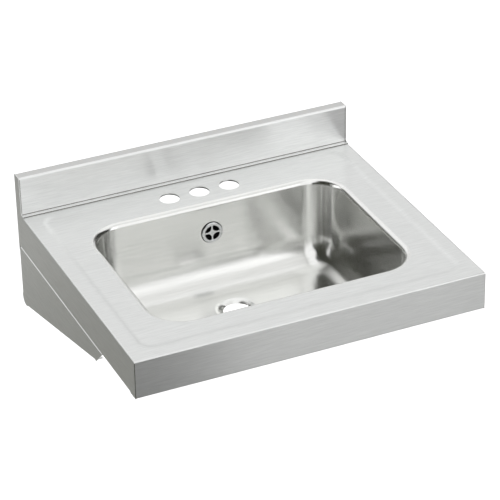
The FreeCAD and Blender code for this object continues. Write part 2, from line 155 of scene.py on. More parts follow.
deckLook = {
    "grain": (45, 1100, 1100), "bands": (26, 480, 480), "cloud": (9, 9, 9),
    "dark": (0.73, 0.739, 0.731), "light": (0.87, 0.881, 0.872),
    "rough": (0.285, 0.315), "bump": 0.02 * mm, "bumpStrength": 0.12,
    "along": (1, 0, 0), "smear": 0.9,
}
sideLook = dict(deckLook, grain=(1100, 45, 1100), bands=(480, 26, 480), along=(0, 1, 0))
bowlLook = {
    "grain": (30, 900, 900), "bands": (12, 380, 380), "cloud": (14, 14, 14),
    "dark": (0.80, 0.804, 0.788), "light": (0.91, 0.914, 0.898),
    "rough": (0.185, 0.22), "bump": 0.02 * mm, "bumpStrength": 0.12,
    "along": (1, 0, 0), "smear": 0.85,
}
# painted light: a lighter copy of the deck steel, so the splash face looks more brightly lit
litSplashLook = dict(deckLook, dark=(0.79, 0.796, 0.793), light=(0.94, 0.947, 0.943))
# painted shade: a darker copy of the deck steel for the upward top of the splash
topShadeLook = dict(deckLook, dark=(0.62, 0.62, 0.61), light=(0.70, 0.70, 0.69))
# painted shade: a dark copy of the deck steel, put on joints and creases where shadow and dark
# reflection fall
seamShadeLook = dict(deckLook, dark=(0.16, 0.155, 0.145), light=(0.30, 0.295, 0.28), rough=(0.38, 0.52))
hangerLook = dict(deckLook, dark=(0.50, 0.51, 0.52), light=(0.62, 0.63, 0.63), rough=(0.36, 0.52))
zincLook = {
    "grain": (400, 400, 400), "bands": (160, 160, 160), "cloud": (90, 90, 90),
    "dark": (0.55, 0.56, 0.58), "light": (0.70, 0.70, 0.68),
    "rough": (0.25, 0.42), "bump": 0.02 * mm, "bumpStrength": 0.2,
}
chromeLook = {
    "grain": (300, 300, 300), "bands": (120, 120, 120), "cloud": (60, 60, 60),
    "dark": (0.72, 0.73, 0.74), "light": (0.78, 0.79, 0.80),
    "rough": (0.08, 0.16), "bump": 0.01 * mm, "bumpStrength": 0.1,
}


def mouldedPlastic(name, look):
    mat, nodes, links, shader = startMaterial(name)
    grain = noiseOn(nodes, links, (look["grain"],) * 3, detail=4.0)
    cloud = noiseOn(nodes, links, (look["cloud"],) * 3, detail=2.0)
    links.new(mixed(nodes, links, cloud, look["dark"], look["light"]), shader.inputs["Base Color"])
    links.new(ranged(nodes, links, grain, *look["rough"]), shader.inputs["Roughness"])
    bumped(nodes, links, shader, grain, look["bump"], look["bumpStrength"])
    return mat


rubberLook = {
    "grain": 1500, "cloud": 90, "dark": (0.012, 0.012, 0.012), "light": (0.028, 0.028, 0.027),
    "rough": (0.55, 0.75), "bump": 0.05 * mm, "bumpStrength": 0.4,
}
plasticLook = {
    "grain": 900, "cloud": 60, "dark": (0.022, 0.023, 0.025), "light": (0.036, 0.037, 0.038),
    "rough": (0.32, 0.48), "bump": 0.04 * mm, "bumpStrength": 0.3,
}
padLook = {
    "grain": 420, "cloud": 45, "dark": (0.055, 0.056, 0.058), "light": (0.10, 0.10, 0.10),
    "rough": (0.72, 0.92), "bump": 0.25 * mm, "bumpStrength": 0.6,
}

finish = {
    "deck": brushedMetal("deckSteel", deckLook),
    "side": brushedMetal("sideSteel", sideLook),
    # painted light on the splash face
    "splash": brushedMetal("splashSteel", litSplashLook),
    # painted shade on the splash's top
    "top": brushedMetal("topSteel", topShadeLook),
    # painted shade for the joints and creases
    "seam": brushedMetal("seamSteel", seamShadeLook),
    "bowl": brushedMetal("bowlSteel", bowlLook),
    "hanger": brushedMetal("hangerSteel", hangerLook),
    "zinc": brushedMetal("zincPlate", zincLook),
    "chrome": brushedMetal("brightChrome", chromeLook),
    "rubber": mouldedPlastic("blackRubber", rubberLook),
    "plastic": mouldedPlastic("elbowPlastic", plasticLook),
    "pad": mouldedPlastic("dampingPad", padLook),
}
print("materials:", len(finish))


# mesh helpers

sharpTurn = math.radians(40)  # edges that turn more than this get rounded


def arcPoints(centre, radius, start, end, steps):
    points = []
    for i in range(steps + 1):
        a = start + (end - start) * i / steps
        points.append((centre[0] + radius * math.cos(a), centre[1] + radius * math.sin(a)))
    return points


def roundedLine(points, radii, steps):
    # open line of 2D points with an arc at each inner corner that has a radius
    line = [Vector(points[0])]
    for a, b, c, radius in zip(points, points[1:], points[2:], radii):
        a, b, c = Vector(a), Vector(b), Vector(c)
        before, after = (a - b).normalized(), (c - b).normalized()
        half = before.angle(after) / 2
        bisector = (before + after).normalized()
        centre = b + bisector * (radius / math.sin(half))
        start = b + before * (radius / math.tan(half))
        end = b + after * (radius / math.tan(half))
        sweep = (start - centre).angle_signed(end - centre)
        turn = math.atan2(start.y - centre.y, start.x - centre.x)
        line += [Vector(p) for p in arcPoints(centre, radius, turn, turn - sweep, steps)]
    line.append(Vector(points[-1]))
    return line


def circleLoop(bm, centre, radius, steps, place):
    verts = []
    for i in range(steps):
        a = 2 * math.pi * i / steps
        x, y = centre[0] + radius * math.cos(a), centre[1] + radius * math.sin(a)
        verts.append(bm.verts.new(place(x, y)))
    return verts


def levelAt(z):
    # places the points of a plan at one height
    def place(x, y):
        return (x, y, z)
    return place


def loopEdges(bm, verts):
    edges = []
    for a, b in zip(verts, verts[1:] + verts[:1]):
        edges.append(bm.edges.get((a, b)) or bm.edges.new((a, b)))
    return edges


def bridge(bm, lower, upper, closed=False):
    pairs = list(zip(lower, upper))
    if closed:
        pairs.append(pairs[0])
    for (a, b), (c, d) in zip(pairs, pairs[1:]):
        bm.faces.new((a, c, d, b))


def faceOut(bm, face, direction):
    # one consistent side for the whole skin, chosen by a face whose outward direction is known
    bmesh.ops.recalc_face_normals(bm, faces=bm.faces[:])
    if face.normal.dot(Vector(direction)) < 0:
        bmesh.ops.reverse_faces(bm, faces=bm.faces[:])


def flatFill(bm, edges):
    made = bmesh.ops.triangle_fill(bm, edges=edges, use_beauty=True, use_dissolve=False)
    return [g for g in made["geom"] if isinstance(g, bmesh.types.BMFace)]


def newObject(name, mesh):
    obj = bpy.data.objects.new(name, mesh)
    bpy.context.scene.collection.objects.link(obj)
    return obj


def applied(obj):
    # the modifiers' result as a plain mesh, with no modifier left
    bpy.context.view_layer.update()
    graph = bpy.context.evaluated_depsgraph_get()
    result = obj.evaluated_get(graph)
    mesh = bpy.data.meshes.new_from_object(result, preserve_all_data_layers=True, depsgraph=graph)
    obj.modifiers.clear()
    obj.data = mesh
    mesh.name = obj.name
    return obj


def softEdges(mesh, width, segments, keep):
    # rounds the sharp edges of a closed mesh, apart from those at a place to keep
    bm = bmesh.new()
    bm.from_mesh(mesh)
    sharp = []
    for edge in bm.edges:
        if len(edge.link_faces) == 2 and edge.calc_face_angle() > sharpTurn:
            middle = (edge.verts[0].co + edge.verts[1].co) / 2
            if not keep(middle):
                sharp.append(edge)
    bmesh.ops.bevel(
        bm, geom=sharp, offset=width, segments=segments, profile=0.5, affect="EDGES",
        clamp_overlap=True,
    )
    bm.to_mesh(mesh)
    bm.free()


def nowhere(point):
    return False


def finishPiece(obj, look, thickness=0.0, edge=0.2 * mm, segments=2, keep=nowhere, angle=30):
    # thickens a skin, rounds its edges and gives it smooth shading between sharp edges
    if thickness:
        wall = obj.modifiers.new("wall", "SOLIDIFY")
        wall.thickness = thickness
        wall.offset = -1
        wall.use_even_offset = True
        applied(obj)
    if edge:
        softEdges(obj.data, edge, segments, keep)
    obj.data.shade_smooth()
    obj.data.set_sharp_from_angle(angle=math.radians(angle))
    weight = obj.modifiers.new("weight", "WEIGHTED_NORMAL")
    weight.keep_sharp = True
    applied(obj)
    obj.data.materials.clear()
    obj.data.materials.append(look)
    return obj


def markFaces(obj, look, test):
    # a second finish on the faces whose middle and outward direction pass the test
    obj.data.materials.append(look)
    last = len(obj.data.materials) - 1
    for face in obj.data.polygons:
        if test(face.center, face.normal):
            face.material_index = last


def settle(obj, body, slot, *nodes):
    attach(obj, body)
    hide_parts(*nodes)
    return obj


# node trees

def newTree(name, inputs):
    tree = bpy.data.node_groups.new(name, "GeometryNodeTree")
    tree.interface.new_socket("Geometry", in_out="INPUT", socket_type="NodeSocketGeometry")
    tree.interface.new_socket("Geometry", in_out="OUTPUT", socket_type="NodeSocketGeometry")
    sockets = {}
    for label, kind in inputs:
        made = tree.interface.new_socket(label, in_out="INPUT", socket_type="NodeSocket" + kind)
        sockets[label] = made.identifier
    return tree, sockets


def endTree(tree, geometry, finishSocket):
    # every tree ends in real geometry with its finish set
    real = tree.nodes.new("GeometryNodeRealizeInstances")
    paint = tree.nodes.new("GeometryNodeSetMaterial")
    out = tree.nodes.new("NodeGroupOutput")
    tree.links.new(geometry, real.inputs["Geometry"])
    tree.links.new(real.outputs["Geometry"], paint.inputs["Geometry"])
    tree.links.new(finishSocket, paint.inputs["Material"])
    tree.links.new(paint.outputs["Geometry"], out.inputs["Geometry"])


def runTree(name, tree, sockets, values):
    obj = newObject(name, bpy.data.meshes.new(name))
    modifier = obj.modifiers.new(tree.name, "NODES")
    modifier.node_group = tree
    for label, value in values.items():
        modifier[sockets[label]] = value
    return applied(obj)


def sweepTree():
    # carries a section round a rectangle with rounded corners
    tree, sockets = newTree("roundedSweep", [
        ("Length", "Float"), ("Width", "Float"), ("Corner", "Float"), ("Steps", "Int"),
        ("Section", "Object"), ("Finish", "Material"),
    ])
    given = tree.nodes.new("NodeGroupInput")
    outline = tree.nodes.new("GeometryNodeCurvePrimitiveQuadrilateral")
    corners = tree.nodes.new("GeometryNodeFilletCurve")
    corners.mode = "POLY"
    section = tree.nodes.new("GeometryNodeObjectInfo")
    skin = tree.nodes.new("GeometryNodeCurveToMesh")
    tree.links.new(given.outputs["Length"], outline.inputs["Width"])
    tree.links.new(given.outputs["Width"], outline.inputs["Height"])
    tree.links.new(outline.outputs["Curve"], corners.inputs["Curve"])
    tree.links.new(given.outputs["Corner"], corners.inputs["Radius"])
    tree.links.new(given.outputs["Steps"], corners.inputs["Count"])
    tree.links.new(given.outputs["Section"], section.inputs["Object"])
    tree.links.new(corners.outputs["Curve"], skin.inputs["Curve"])
    tree.links.new(section.outputs["Geometry"], skin.inputs["Profile Curve"])
    endTree(tree, skin.outputs["Mesh"], given.outputs["Finish"])
    return tree, sockets


def sectionCurve(name, points):
    # points are (inward, up) from the line that is followed
    curve = bpy.data.curves.new(name, "CURVE")
    curve.dimensions = "3D"
    spline = curve.splines.new("POLY")
    spline.points.add(len(points) - 1)
    for point, (inward, up) in zip(spline.points, points):
        point.co = (-inward, -up, 0, 1)
    return newObject(name, curve)


def sweptRing(name, low, high, z, corner, steps, section, look):
    # low and high are opposite corners of the rectangle
    shape = sectionCurve(name + "Section", section)
    ring = runTree(name, *sweep, {
        "Length": high[0] - low[0], "Width": high[1] - low[1], "Corner": corner, "Steps": steps,
        "Section": shape, "Finish": look,
    })
    bpy.data.objects.remove(shape)
    middle = Vector(((low[0] + high[0]) / 2, (low[1] + high[1]) / 2, z))
    ring.data.transform(Matrix.Translation(middle))
    return ring


sweep = sweepTree()


# bowl

bowl = {
    "roll": 8.2 * mm, "draft": math.radians(3), "cove": 48 * mm, "depth": 138.5 * mm,
    "rollStart": math.radians(0.4), "rollSteps": 22, "coveSteps": 28, "cornerSteps": 32,
    "edge": 0.15 * mm, "smooth": 40,
    "drainSetback": 205.5 * mm, "drainHole": 44.45 * mm, "recess": 71 * mm, "recessDepth": 5.3 * mm,
    "dishSteps": 16, "dishCurve": 1.9, "roundSteps": 96,
    "overflowDrop": 51.4 * mm, "overflowHole": 27 * mm, "holeSteps": 64,
    "midSlack": 0.1 * mm, "backReach": 50 * mm,
}
floorZ = rimZ - bowl["depth"]
rollEndZ = deckZ - bowl["roll"] * (1 - math.sin(bowl["draft"]))
coveStartZ = floorZ + bowl["cove"] * (1 - math.sin(bowl["draft"]))
wallRun = (rollEndZ - coveStartZ) * math.tan(bowl["draft"])
floorInset = (bowl["roll"] + bowl["cove"]) * math.cos(bowl["draft"]) + wallRun
overflowZ = rimZ - bowl["overflowDrop"]
overflowRun = (rollEndZ - overflowZ) * math.tan(bowl["draft"])
overflowInset = bowl["roll"] * math.cos(bowl["draft"]) + overflowRun
# frame of the overflow fitting: its axis points into the bowl, square to the back wall
overflowUp = Vector((0, math.sin(bowl["draft"]), math.cos(bowl["draft"])))
overflowAxis = Vector((0, -math.cos(bowl["draft"]), math.sin(bowl["draft"])))
overflowAt = Vector((0, bowlHigh.y - overflowInset, overflowZ))


def onOverflow(x, y, z=0.0):
    return overflowAt + Vector((x, 0, 0)) + overflowUp * y + overflowAxis * z


def stepCurve(run, drop, steps):
    # two tangent arcs that step down by the drop over the run
    radius = (run**2 + drop**2) / (4 * drop)
    turn = 2 * math.atan2(drop, run)
    angles = [turn * i / steps for i in range(steps + 1)]
    upper = [(radius * math.sin(a), -radius + radius * math.cos(a)) for a in angles]
    lower = [(run - u, -drop - w) for u, w in reversed(upper)]
    return upper + lower[1:]


def bowlSection():
    # the rolled rim and the cove, with the straight wall left between them
    wallAngle = math.pi / 2 - bowl["draft"]
    first = bowl["rollStart"]
    roll = [(0.0, 0.0)]
    for i in range(bowl["rollSteps"] + 1):
        a = first + (wallAngle - first) * i / bowl["rollSteps"]
        roll.append((bowl["roll"] * math.sin(a), -bowl["roll"] + bowl["roll"] * math.cos(a)))
    cove = []
    coveZ = floorZ + bowl["cove"] - deckZ
    for i in range(bowl["coveSteps"] + 1):
        a = wallAngle * (1 - i / bowl["coveSteps"])
        cove.append((floorInset - bowl["cove"] * math.sin(a), coveZ - bowl["cove"] * math.cos(a)))
    return roll + cove


def drainSeat(bm):
    # dished seat round the drain hole; returns the edge that meets the floor
    centre = (0.0, -bowl["drainSetback"])
    outer, inner = bowl["recess"] / 2, bowl["drainHole"] / 2
    loops = []
    for i in range(bowl["dishSteps"] + 1):
        u = i / bowl["dishSteps"]
        radius = outer + (inner - outer) * u
        z = floorZ - bowl["recessDepth"] * u**bowl["dishCurve"]
        loops.append(circleLoop(bm, centre, radius, bowl["roundSteps"], levelAt(z)))
    for upper, lower in zip(loops, loops[1:]):
        bridge(bm, upper, lower, True)
    return loopEdges(bm, loops[0])


def backWallFaces(bm):
    # the flat of the back wall, whose faces lie across the middle plane
    faces = []
    for face in bm.faces:
        middle = face.calc_center_median()
        atBack = abs(middle.x) < bowl["midSlack"] and middle.y > overflowAt.y - bowl["backReach"]
        if atBack and coveStartZ < middle.z < rollEndZ:
            faces.append(face)
    return faces


def byRim(point):
    # the rim keeps its sharp edge, because the deck goes on from there
    return point.z > deckZ - 1.5 * sheet


def makeBowl():
    low, high = (bowlLow.x, bowlLow.y), (bowlHigh.x, bowlHigh.y)
    obj = sweptRing(
        "bowlShell", low, high, deckZ, floorInset, bowl["cornerSteps"], bowlSection(),
        finish["bowl"],
    )
    bm = bmesh.new()
    bm.from_mesh(obj.data)
    floorLow = Vector((low[0] + floorInset, low[1] + floorInset))
    floorHigh = Vector((high[0] - floorInset, high[1] - floorInset))
    # the coves of the four corners end in one point each at the corners of the floor
    for vert in bm.verts:
        if vert.co.z < floorZ + weld:
            vert.co.x = min(max(vert.co.x, floorLow.x), floorHigh.x)
            vert.co.y = min(max(vert.co.y, floorLow.y), floorHigh.y)
    bmesh.ops.remove_doubles(bm, verts=bm.verts[:], dist=weld)
    bmesh.ops.dissolve_degenerate(bm, edges=bm.edges[:], dist=sliver)
    free = [e for e in bm.edges if e.is_boundary]
    floorEdges = [e for e in free if max(v.co.z for v in e.verts) < floorZ + weld]
    floor = flatFill(bm, floorEdges + drainSeat(bm))
    # the flat of the back wall is filled again with the overflow hole in it
    backWall = backWallFaces(bm)
    wallEdges = [e for face in backWall for e in face.edges]
    bmesh.ops.delete(bm, geom=backWall, context="FACES_ONLY")
    hole = circleLoop(bm, (0, 0), bowl["overflowHole"] / 2, bowl["holeSteps"], onOverflow)
    flatFill(bm, wallEdges + loopEdges(bm, hole))
    faceOut(bm, floor[0], (0, 0, 1))
    bm.to_mesh(obj.data)
    bm.free()
    finishPiece(obj, finish["bowl"], sheet, bowl["edge"], keep=byRim, angle=bowl["smooth"])
    return settle(obj, "sink", "satin_stainless", "bowl")


bowlPiece = makeBowl()
print("bowl:", len(bowlPiece.data.polygons), "faces")


# deck with its raised border, bowl opening, faucet holes and front apron

deck = {
    "borderSide": 19 * mm, "borderFront": 21 * mm, "borderBack": 34 * mm, "slope": 14 * mm,
    "recessCorner": 14 * mm, "slopeSteps": 9, "cornerSteps": 16, "bendSteps": 8,
    "return": 15 * mm, "rearGap": 8 * mm, "smooth": 40,
    "cornerSeam": 0.8 * mm, "seamSteps": 3, "slack": 0.01 * mm, "turned": 0.05,
    "faucetHole": 31.75 * mm, "faucetPitch": 50.8 * mm, "faucetSetback": 66.3 * mm,
    "roundSteps": 72,
}


def rimLoop(bm):
    # the opening takes the very points of the bowl's rolled rim, so that the joint can't be seen
    rim = bmesh.new()
    rim.from_mesh(sweptRing(
        "openingLine", (bowlLow.x, bowlLow.y), (bowlHigh.x, bowlHigh.y), deckZ, floorInset,
        bowl["cornerSteps"], [(0.0, 0.0), (sheet, 0.0)], finish["deck"],
    ).data)
    bpy.data.objects.remove(bpy.data.objects["openingLine"])
    edges = []
    made = {}
    for edge in rim.edges:
        if all(onRimLine(v.co) for v in edge.verts):
            ends = []
            for v in edge.verts:
                if v.index not in made:
                    made[v.index] = bm.verts.new(v.co)
                ends.append(made[v.index])
            edges.append(bm.edges.new(ends))
    rim.free()
    return edges


def onRimLine(point):
    # distance from the rounded rectangle of the rim
    x = max(abs(point.x) - (bowlHigh.x - floorInset), 0)
    middle = (bowlLow.y + bowlHigh.y) / 2
    y = max(abs(point.y - middle) - ((bowlHigh.y - bowlLow.y) / 2 - floorInset), 0)
    return math.hypot(x, y) > floorInset - sheet / 4


def deckEdge(bm):
    # rows of points over the bend at the left, front and right; the first row lies on the border
    inner = halfWidth - bendOut
    rows = []
    for i in range(deck["bendSteps"] + 1):
        a = math.pi / 2 * i / deck["bendSteps"]
        out = bendOut * math.sin(a)
        z = rimZ - bendOut + bendOut * math.cos(a)
        x, y = inner + out, frontY + bendOut - out
        row = ((-x, footY, z), (-x, y, z), (x, y, z), (x, footY, z))
        rows.append([bm.verts.new(p) for p in row])
    for upper, lower in zip(rows, rows[1:]):
        bridge(bm, upper, lower)
    return rows


def apron(bm, top):
    # front apron below the bend, with the return along its lower edge
    half = halfWidth - sheet
    left, right = top
    rows = []
    for i in range(deck["bendSteps"] + 1):
        a = math.pi / 2 * i / deck["bendSteps"]
        y = frontY + bendOut - bendOut * math.cos(a)
        z = apronZ + bendOut - bendOut * math.sin(a)
        rows.append([bm.verts.new((x, y, z)) for x in (-half, half)])
    rows.append([bm.verts.new((x, frontY + deck["return"], apronZ)) for x in (-half, half)])
    for upper, lower in zip(rows, rows[1:]):
        bridge(bm, upper, lower)
    feet = [bm.verts.new((x, frontY, apronZ)) for x in (halfWidth, half, -half, -halfWidth)]
    bm.faces.new([left, right, feet[0], feet[1], rows[0][1], rows[0][0], feet[2], feet[3]])


def makeDeck():
    low = (-halfWidth + deck["borderSide"], frontY + deck["borderFront"])
    high = (halfWidth - deck["borderSide"], -deck["borderBack"])
    corner = deck["recessCorner"] + deck["slope"]
    section = stepCurve(deck["slope"], rimZ - deckZ, deck["slopeSteps"])
    obj = sweptRing(
        "deckSheet", low, high, rimZ, corner, deck["cornerSteps"], section, finish["deck"],
    )
    bm = bmesh.new()
    bm.from_mesh(obj.data)
    level = (rimZ + deckZ) / 2
    edges = [e for e in bm.edges if e.is_boundary]
    upper = [e for e in edges if e.verts[0].co.z > level]
    lower = [e for e in edges if e.verts[0].co.z < level]
    rows = deckEdge(bm)
    inner = halfWidth - bendOut
    back = [bm.verts.new((x, -deck["rearGap"], rimZ)) for x in (inner, -inner)]
    border = flatFill(bm, upper + loopEdges(bm, rows[0] + back))
    apron(bm, rows[-1][1:3])
    holes = rimLoop(bm)
    for i in (-1, 0, 1):
        centre = (i * deck["faucetPitch"], -deck["faucetSetback"])
        circle = circleLoop(bm, centre, deck["faucetHole"] / 2, deck["roundSteps"], levelAt(deckZ))
        holes += loopEdges(bm, circle)
    flatFill(bm, lower + holes)
    faceOut(bm, border[0], (0, 0, 1))
    bm.to_mesh(obj.data)
    bm.free()
    finishPiece(obj, finish["deck"], sheet, edge=0)
    softEdges(obj.data, deck["cornerSeam"], deck["seamSteps"], offCorner)
    finishPiece(obj, finish["deck"], keep=insideRim, angle=deck["smooth"])
    # painted shade in the joint between the apron's ends and the side panels
    markFaces(obj, finish["seam"], onCornerSeam)
    return settle(obj, "sink", "satin_stainless", "deck_pan")


def insideRim(point):
    # the bowl's opening keeps its sharp edge, because the rolled rim goes on from there
    across = abs(point.x) < bowlHigh.x + sheet
    along = bowlLow.y - sheet < point.y < bowlHigh.y + sheet
    return not onRimLine(point) or (across and along and abs(point.z - deckZ) < 2 * sheet)


def offCorner(point):
    # everything but the upright edges at the two ends of the apron
    aside = abs(point.x) < halfWidth - deck["slack"]
    behind = point.y > frontY + deck["slack"]
    return aside or behind or point.z > rimZ - bendOut


# upright rounded faces at the apron's ends, which get the painted shade of the joint
def onCornerSeam(point, normal):
    reach, turned = deck["cornerSeam"], deck["turned"]
    atEnd = abs(point.x) > halfWidth - reach and point.y < frontY + reach
    return atEnd and point.z < rimZ - bendOut and abs(normal.x) > turned and normal.y < -turned


deckPiece = makeDeck()
print("deck:", len(deckPiece.data.polygons), "faces")


# backsplash

splash = {
    "hook": 22 * mm, "depth": 19.4 * mm, "topBend": 3.6 * mm, "crease": 1.1 * mm, "bendSteps": 8,
    "endSeam": 0.9 * mm, "slack": 0.02 * mm, "cutEdge": 0.1 * mm,
    "ahead": -0.9, "upward": 0.97,  # limits of an outward direction
}


def onCrease(point, normal):
    # the tight bend at the foot, which gets a painted dark reflection, and the cut edge of the foot
    # on the deck, which gets a painted shadow
    if normal.y < splash["ahead"] and point.y < footY + splash["cutEdge"]:
        return True
    up, out = point.z - rimZ - sheet, -splash["depth"] - point.y
    low, high = splash["slack"], splash["crease"]
    return low < up < high and low < out < high


def onEndSeam(point, normal):
    # painted shade: the dark line where the face meets the side panels
    onFace = normal.y < splash["ahead"] and point.y < -splash["depth"] + sheet / 2
    atEnd = abs(point.x) > splashHigh.x - splash["endSeam"]
    return onFace and atEnd and point.z > rimZ + sheet


# faces that get the painted seam shade
def onSplashSeam(point, normal):
    return onCrease(point, normal) or onEndSeam(point, normal)


# faces on top of the splash, which get the painted shade
def onTop(point, normal):
    return normal.z > splash["upward"] and point.z > splashHigh.z - sheet / 2


def makeSplash():
    rear, face, foot = splashHigh.y, -splash["depth"], footY
    top, bottom = splashHigh.z, rimZ + sheet
    line = roundedLine(
        [(rear, top - splash["hook"]), (rear, top), (face, top), (face, bottom), (foot, bottom)],
        [bendOut, splash["topBend"], splash["crease"]], splash["bendSteps"],
    )
    bm = bmesh.new()
    left, right, seam = splashLow.x, splashHigh.x, splash["endSeam"]
    stations = (left, left + seam, right - seam, right)
    rows = [[bm.verts.new((x, p.x, p.y)) for p in line] for x in stations]
    for before, after in zip(rows, rows[1:]):
        bridge(bm, before, after)
    bm.faces.ensure_lookup_table()
    faceOut(bm, bm.faces[0], (0, 1, 0))
    mesh = bpy.data.meshes.new("splashSheet")
    bm.to_mesh(mesh)
    bm.free()
    obj = finishPiece(newObject("splashSheet", mesh), finish["splash"], sheet)
    # painted shade on the top of the splash
    markFaces(obj, finish["top"], onTop)
    # painted shade and reflection along the crease, the foot's edge and the ends
    markFaces(obj, finish["seam"], onSplashSeam)
    return settle(obj, "sink", "satin_stainless", "backsplash")


splashPiece = makeSplash()
print("backsplash:", len(splashPiece.data.polygons), "faces")


# pieces that keep their solid's shape and get rounded edges

rounding = {  # width and steps
    "sheet": (0.25 * mm, 2), "elbow": (0.6 * mm, 3), "gasket": (0.4 * mm, 3), "pad": (0.9 * mm, 3),
}
flatTurn = math.radians(0.5)  # faces that turn less than this are one flat
softened = [
    ("leftSide", "left_side_panel", "side", "satin_stainless", "sheet"),
    ("rightSide", "right_side_panel", "side", "satin_stainless", "sheet"),
    ("leftGusset", "left_gusset", "side", "satin_stainless", "sheet"),
    ("rightGusset", "right_gusset", "side", "satin_stainless", "sheet"),
    ("wallHanger", "wall_hanger", "hanger", "hanger_steel", "sheet"),
    ("faucetPlate", "faucet_stiffener", "hanger", "hanger_steel", "sheet"),
    ("overflowElbow", "overflow_elbow", "plastic", "elbow_plastic", "elbow"),
    ("rearGasket", "overflow_rear_gasket", "rubber", "black_rubber", "gasket"),
    ("leftFloorPad", "left_floor_pad", "pad", "damping_pad", "pad"),
    ("rightFloorPad", "right_floor_pad", "pad", "damping_pad", "pad"),
    ("frontPad", "front_wall_pad", "pad", "damping_pad", "pad"),
    ("leftPad", "left_wall_pad", "pad", "damping_pad", "pad"),
    ("rightPad", "right_wall_pad", "pad", "damping_pad", "pad"),
]


def makeSoftened(name, node, look, slot, kind):
    bm = bmesh.new()
    bm.from_mesh(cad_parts[node].data)
    bmesh.ops.remove_doubles(bm, verts=bm.verts[:], dist=weld)
    bmesh.ops.dissolve_limit(bm, angle_limit=flatTurn, verts=bm.verts[:], edges=bm.edges[:])
    mesh = bpy.data.meshes.new(name)
    bm.to_mesh(mesh)
    bm.free()
    edge, segments = rounding[kind]
    obj = finishPiece(newObject(name, mesh), finish[look], edge=edge, segments=segments)
    return settle(obj, "hanger" if node == "wall_hanger" else "sink", slot, node)


for row in softened:
    piece = makeSoftened(*row)
    print(row[0] + ":", len(piece.data.polygons), "faces")


# overflow grid: a rounded ring with a four-spoke star in its mouth

grid = {
    "mouth": 12.4 * mm, "sleeve": 13.2 * mm, "flange": 17.3 * mm,
    "seat": 0.8 * mm, "top": 3 * mm, "back": -9.7 * mm,
    "roundOut": 1.3 * mm, "roundIn": 0.7 * mm, "roundFine": 0.15 * mm,
    "steps": 6, "ringSteps": 20, "ringRound": 0.999, "smooth": 40,
    "sealOut": 18.1 * mm, "sealIn": 13.5 * mm, "sealEdge": 0.3 * mm, "sealFine": 0.1 * mm,
    "starTop": 1.8 * mm, "starDepth": 2 * mm, "starEdge": 0.35 * mm, "starSteps": 3,
    "starTurn": math.radians(60), "intoRing": 0.4 * mm,
    "window": 7.6 * mm, "windowOff": 8.7 * mm, "windowSteps": 24,
}


def polar(radius, angle):
    return Vector((radius * math.cos(angle), radius * math.sin(angle)))


def starOutline():
    # spokes left between four round windows, from the hub out to the ring
    far = grid["windowOff"] * math.sqrt(2)
    reach = grid["mouth"] + grid["intoRing"]
    half = math.acos((far**2 + reach**2 - grid["window"]**2) / (2 * far * reach))
    points = []
    for quarter in range(4):
        middle = math.pi / 4 + quarter * math.pi / 2
        centre = polar(far, middle)
        first, last = polar(reach, middle - half) - centre, polar(reach, middle + half) - centre
        start, end = math.atan2(first.y, first.x), math.atan2(last.y, last.x)
        while end > start:
            end -= 2 * math.pi
        points += arcPoints(centre, grid["window"], start, end, grid["windowSteps"])
    return points


def makeStar(bm):
    low = grid["starTop"] - grid["starDepth"]
    rows = [[bm.verts.new((x, y, z)) for x, y in starOutline()] for z in (low, grid["starTop"])]
    bridge(bm, *rows, True)
    for row in rows:
        flatFill(bm, loopEdges(bm, row))
    bmesh.ops.recalc_face_normals(bm, faces=bm.faces[:])
    rim = []
    for edge in bm.edges:
        if len(edge.link_faces) == 2 and edge.calc_face_angle() > grid["starTurn"]:
            if abs(edge.verts[0].co.z - edge.verts[1].co.z) < weld:
                rim.append(edge)
    bmesh.ops.bevel(
        bm, geom=rim, offset=grid["starEdge"], segments=grid["starSteps"], profile=0.5,
        affect="EDGES",
    )


def overflowRing(name, size, line, look):
    # closed ring round the overflow's axis, from a line of radius and height
    # the corners take nearly the whole of a square, so that it becomes a circle
    section = [(size - p.x, p.y) for p in line]
    corner = size * grid["ringRound"]
    obj = sweptRing(
        name, (-size, -size), (size, size), 0.0, corner, grid["ringSteps"], section, finish[look],
    )
    bm = bmesh.new()
    bm.from_mesh(obj.data)
    bmesh.ops.remove_doubles(bm, verts=bm.verts[:], dist=weld)
    bmesh.ops.recalc_face_normals(bm, faces=bm.faces[:])
    return obj, bm


def ontoWall(obj, bm, look):
    # turns a piece made about Z to the overflow's axis
    turn = Matrix((Vector((1, 0, 0)), overflowUp, overflowAxis)).transposed().to_4x4()
    bm.transform(Matrix.Translation(overflowAt) @ turn)
    bm.to_mesh(obj.data)
    bm.free()
    return finishPiece(obj, finish[look], edge=0, angle=grid["smooth"])


def makeGrid():
    size, mouth, sleeve = grid["flange"], grid["mouth"], grid["sleeve"]
    seat, top, back, fine = grid["seat"], grid["top"], grid["back"], grid["roundFine"]
    line = roundedLine(
        [
            (mouth, 0), (mouth, top), (size, top), (size, seat),
            (sleeve, seat), (sleeve, back), (mouth, back), (mouth, 0),
        ],
        [grid["roundIn"], grid["roundOut"], fine, fine, fine, fine], grid["steps"],
    )
    obj, bm = overflowRing("overflowGrid", size, line, "chrome")
    star = bmesh.new()
    makeStar(star)
    part = bpy.data.meshes.new("star")
    star.to_mesh(part)
    star.free()
    bm.from_mesh(part)
    bpy.data.meshes.remove(part)
    ontoWall(obj, bm, "chrome")
    return settle(obj, "sink", "bright_chrome", "overflow_grid")


def makeSeal():
    # washer under the flange; its edge shows as a dark line round the ring
    size, hole, top, fine = grid["sealOut"], grid["sealIn"], grid["seat"], grid["sealFine"]
    line = roundedLine(
        [(hole, top / 2), (hole, top), (size, top), (size, 0), (hole, 0), (hole, top / 2)],
        [fine, grid["sealEdge"], fine, fine], grid["steps"],
    )
    obj, bm = overflowRing("frontSeal", size, line, "rubber")
    ontoWall(obj, bm, "rubber")
    return settle(obj, "sink", "black_rubber", "overflow_front_seal")


gridPiece = makeGrid()
sealPiece = makeSeal()
print("overflow grid:", len(gridPiece.data.polygons), "faces")
print("overflow seal:", len(sealPiece.data.polygons), "faces")


# bolts and nuts of the gusset flanges

